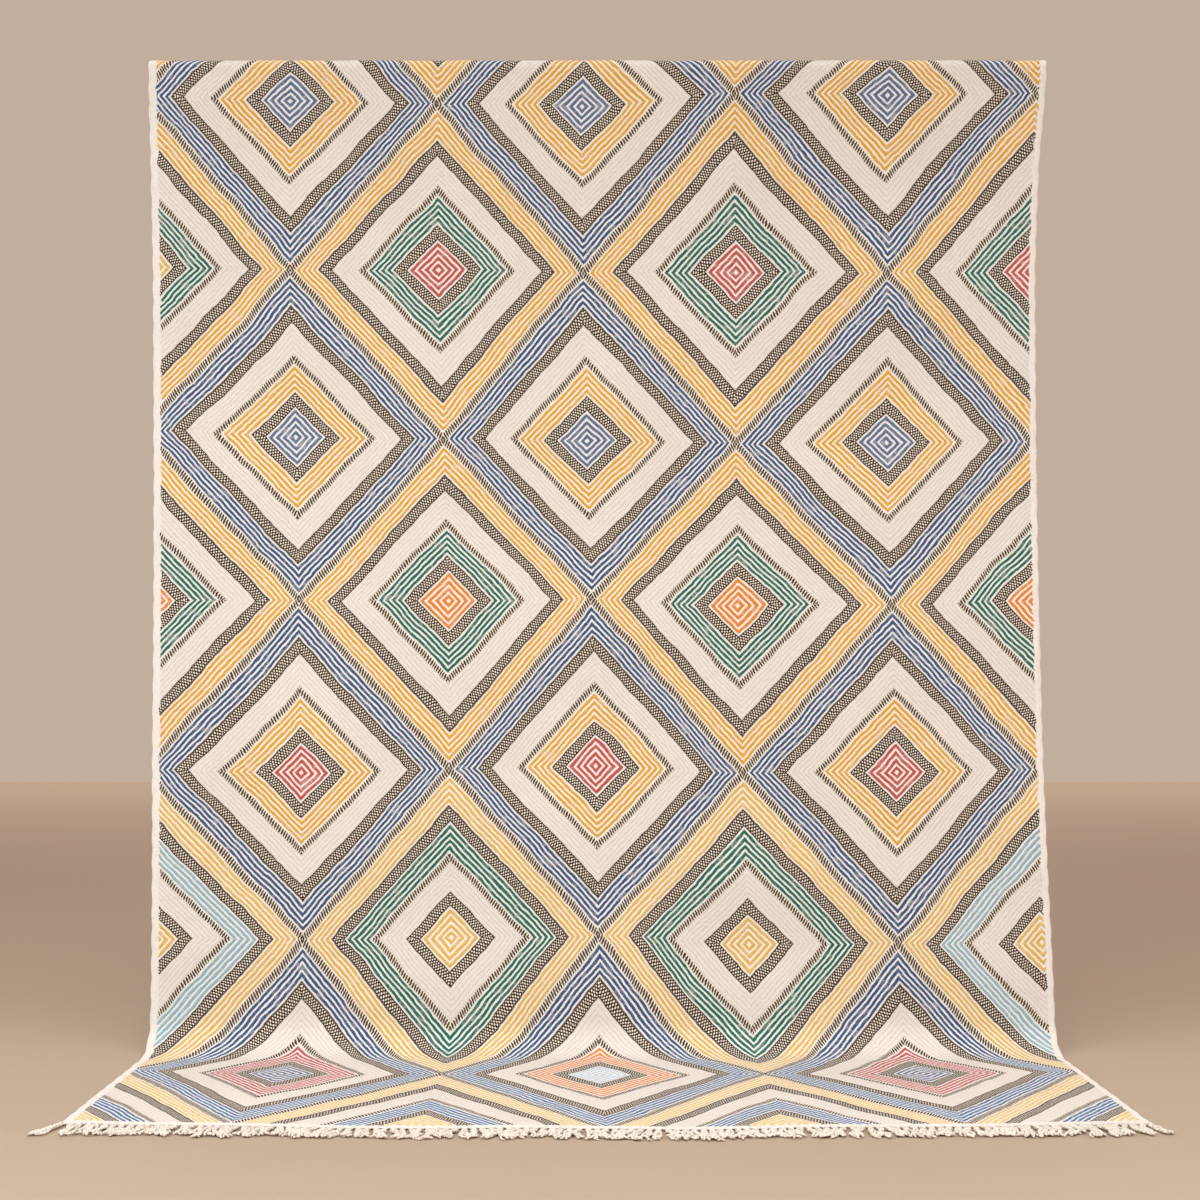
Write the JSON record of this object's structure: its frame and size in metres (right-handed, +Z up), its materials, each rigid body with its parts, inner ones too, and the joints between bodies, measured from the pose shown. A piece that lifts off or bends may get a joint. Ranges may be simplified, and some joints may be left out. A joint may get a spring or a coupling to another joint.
{
  "type": "kilim rug",
  "caption": "Flat-woven wool kilim with concentric diamonds and knotted fringes, folded over at the top, hanging and running out on the floor.",
  "frame": {"origin": "on the floor, under the middle of the whole object", "axes": "+Z up, the face of the rug towards -Y, +X to the right as it is looked at"},
  "size_m": [2.0511, 0.8051, 2.2408],
  "materials": {
    "woven_wool": "matt flat weave in cream, yellow, blue, green, red and black-brown wool",
    "fringe_cotton": "matt twisted cotton warp ends in natural cream"
  },
  "bodies": {
    "root": {"kilim_cloth": "woven_wool", "front_fringe": "fringe_cotton", "back_fringe": "fringe_cotton"}
  },
  "joints": []
}
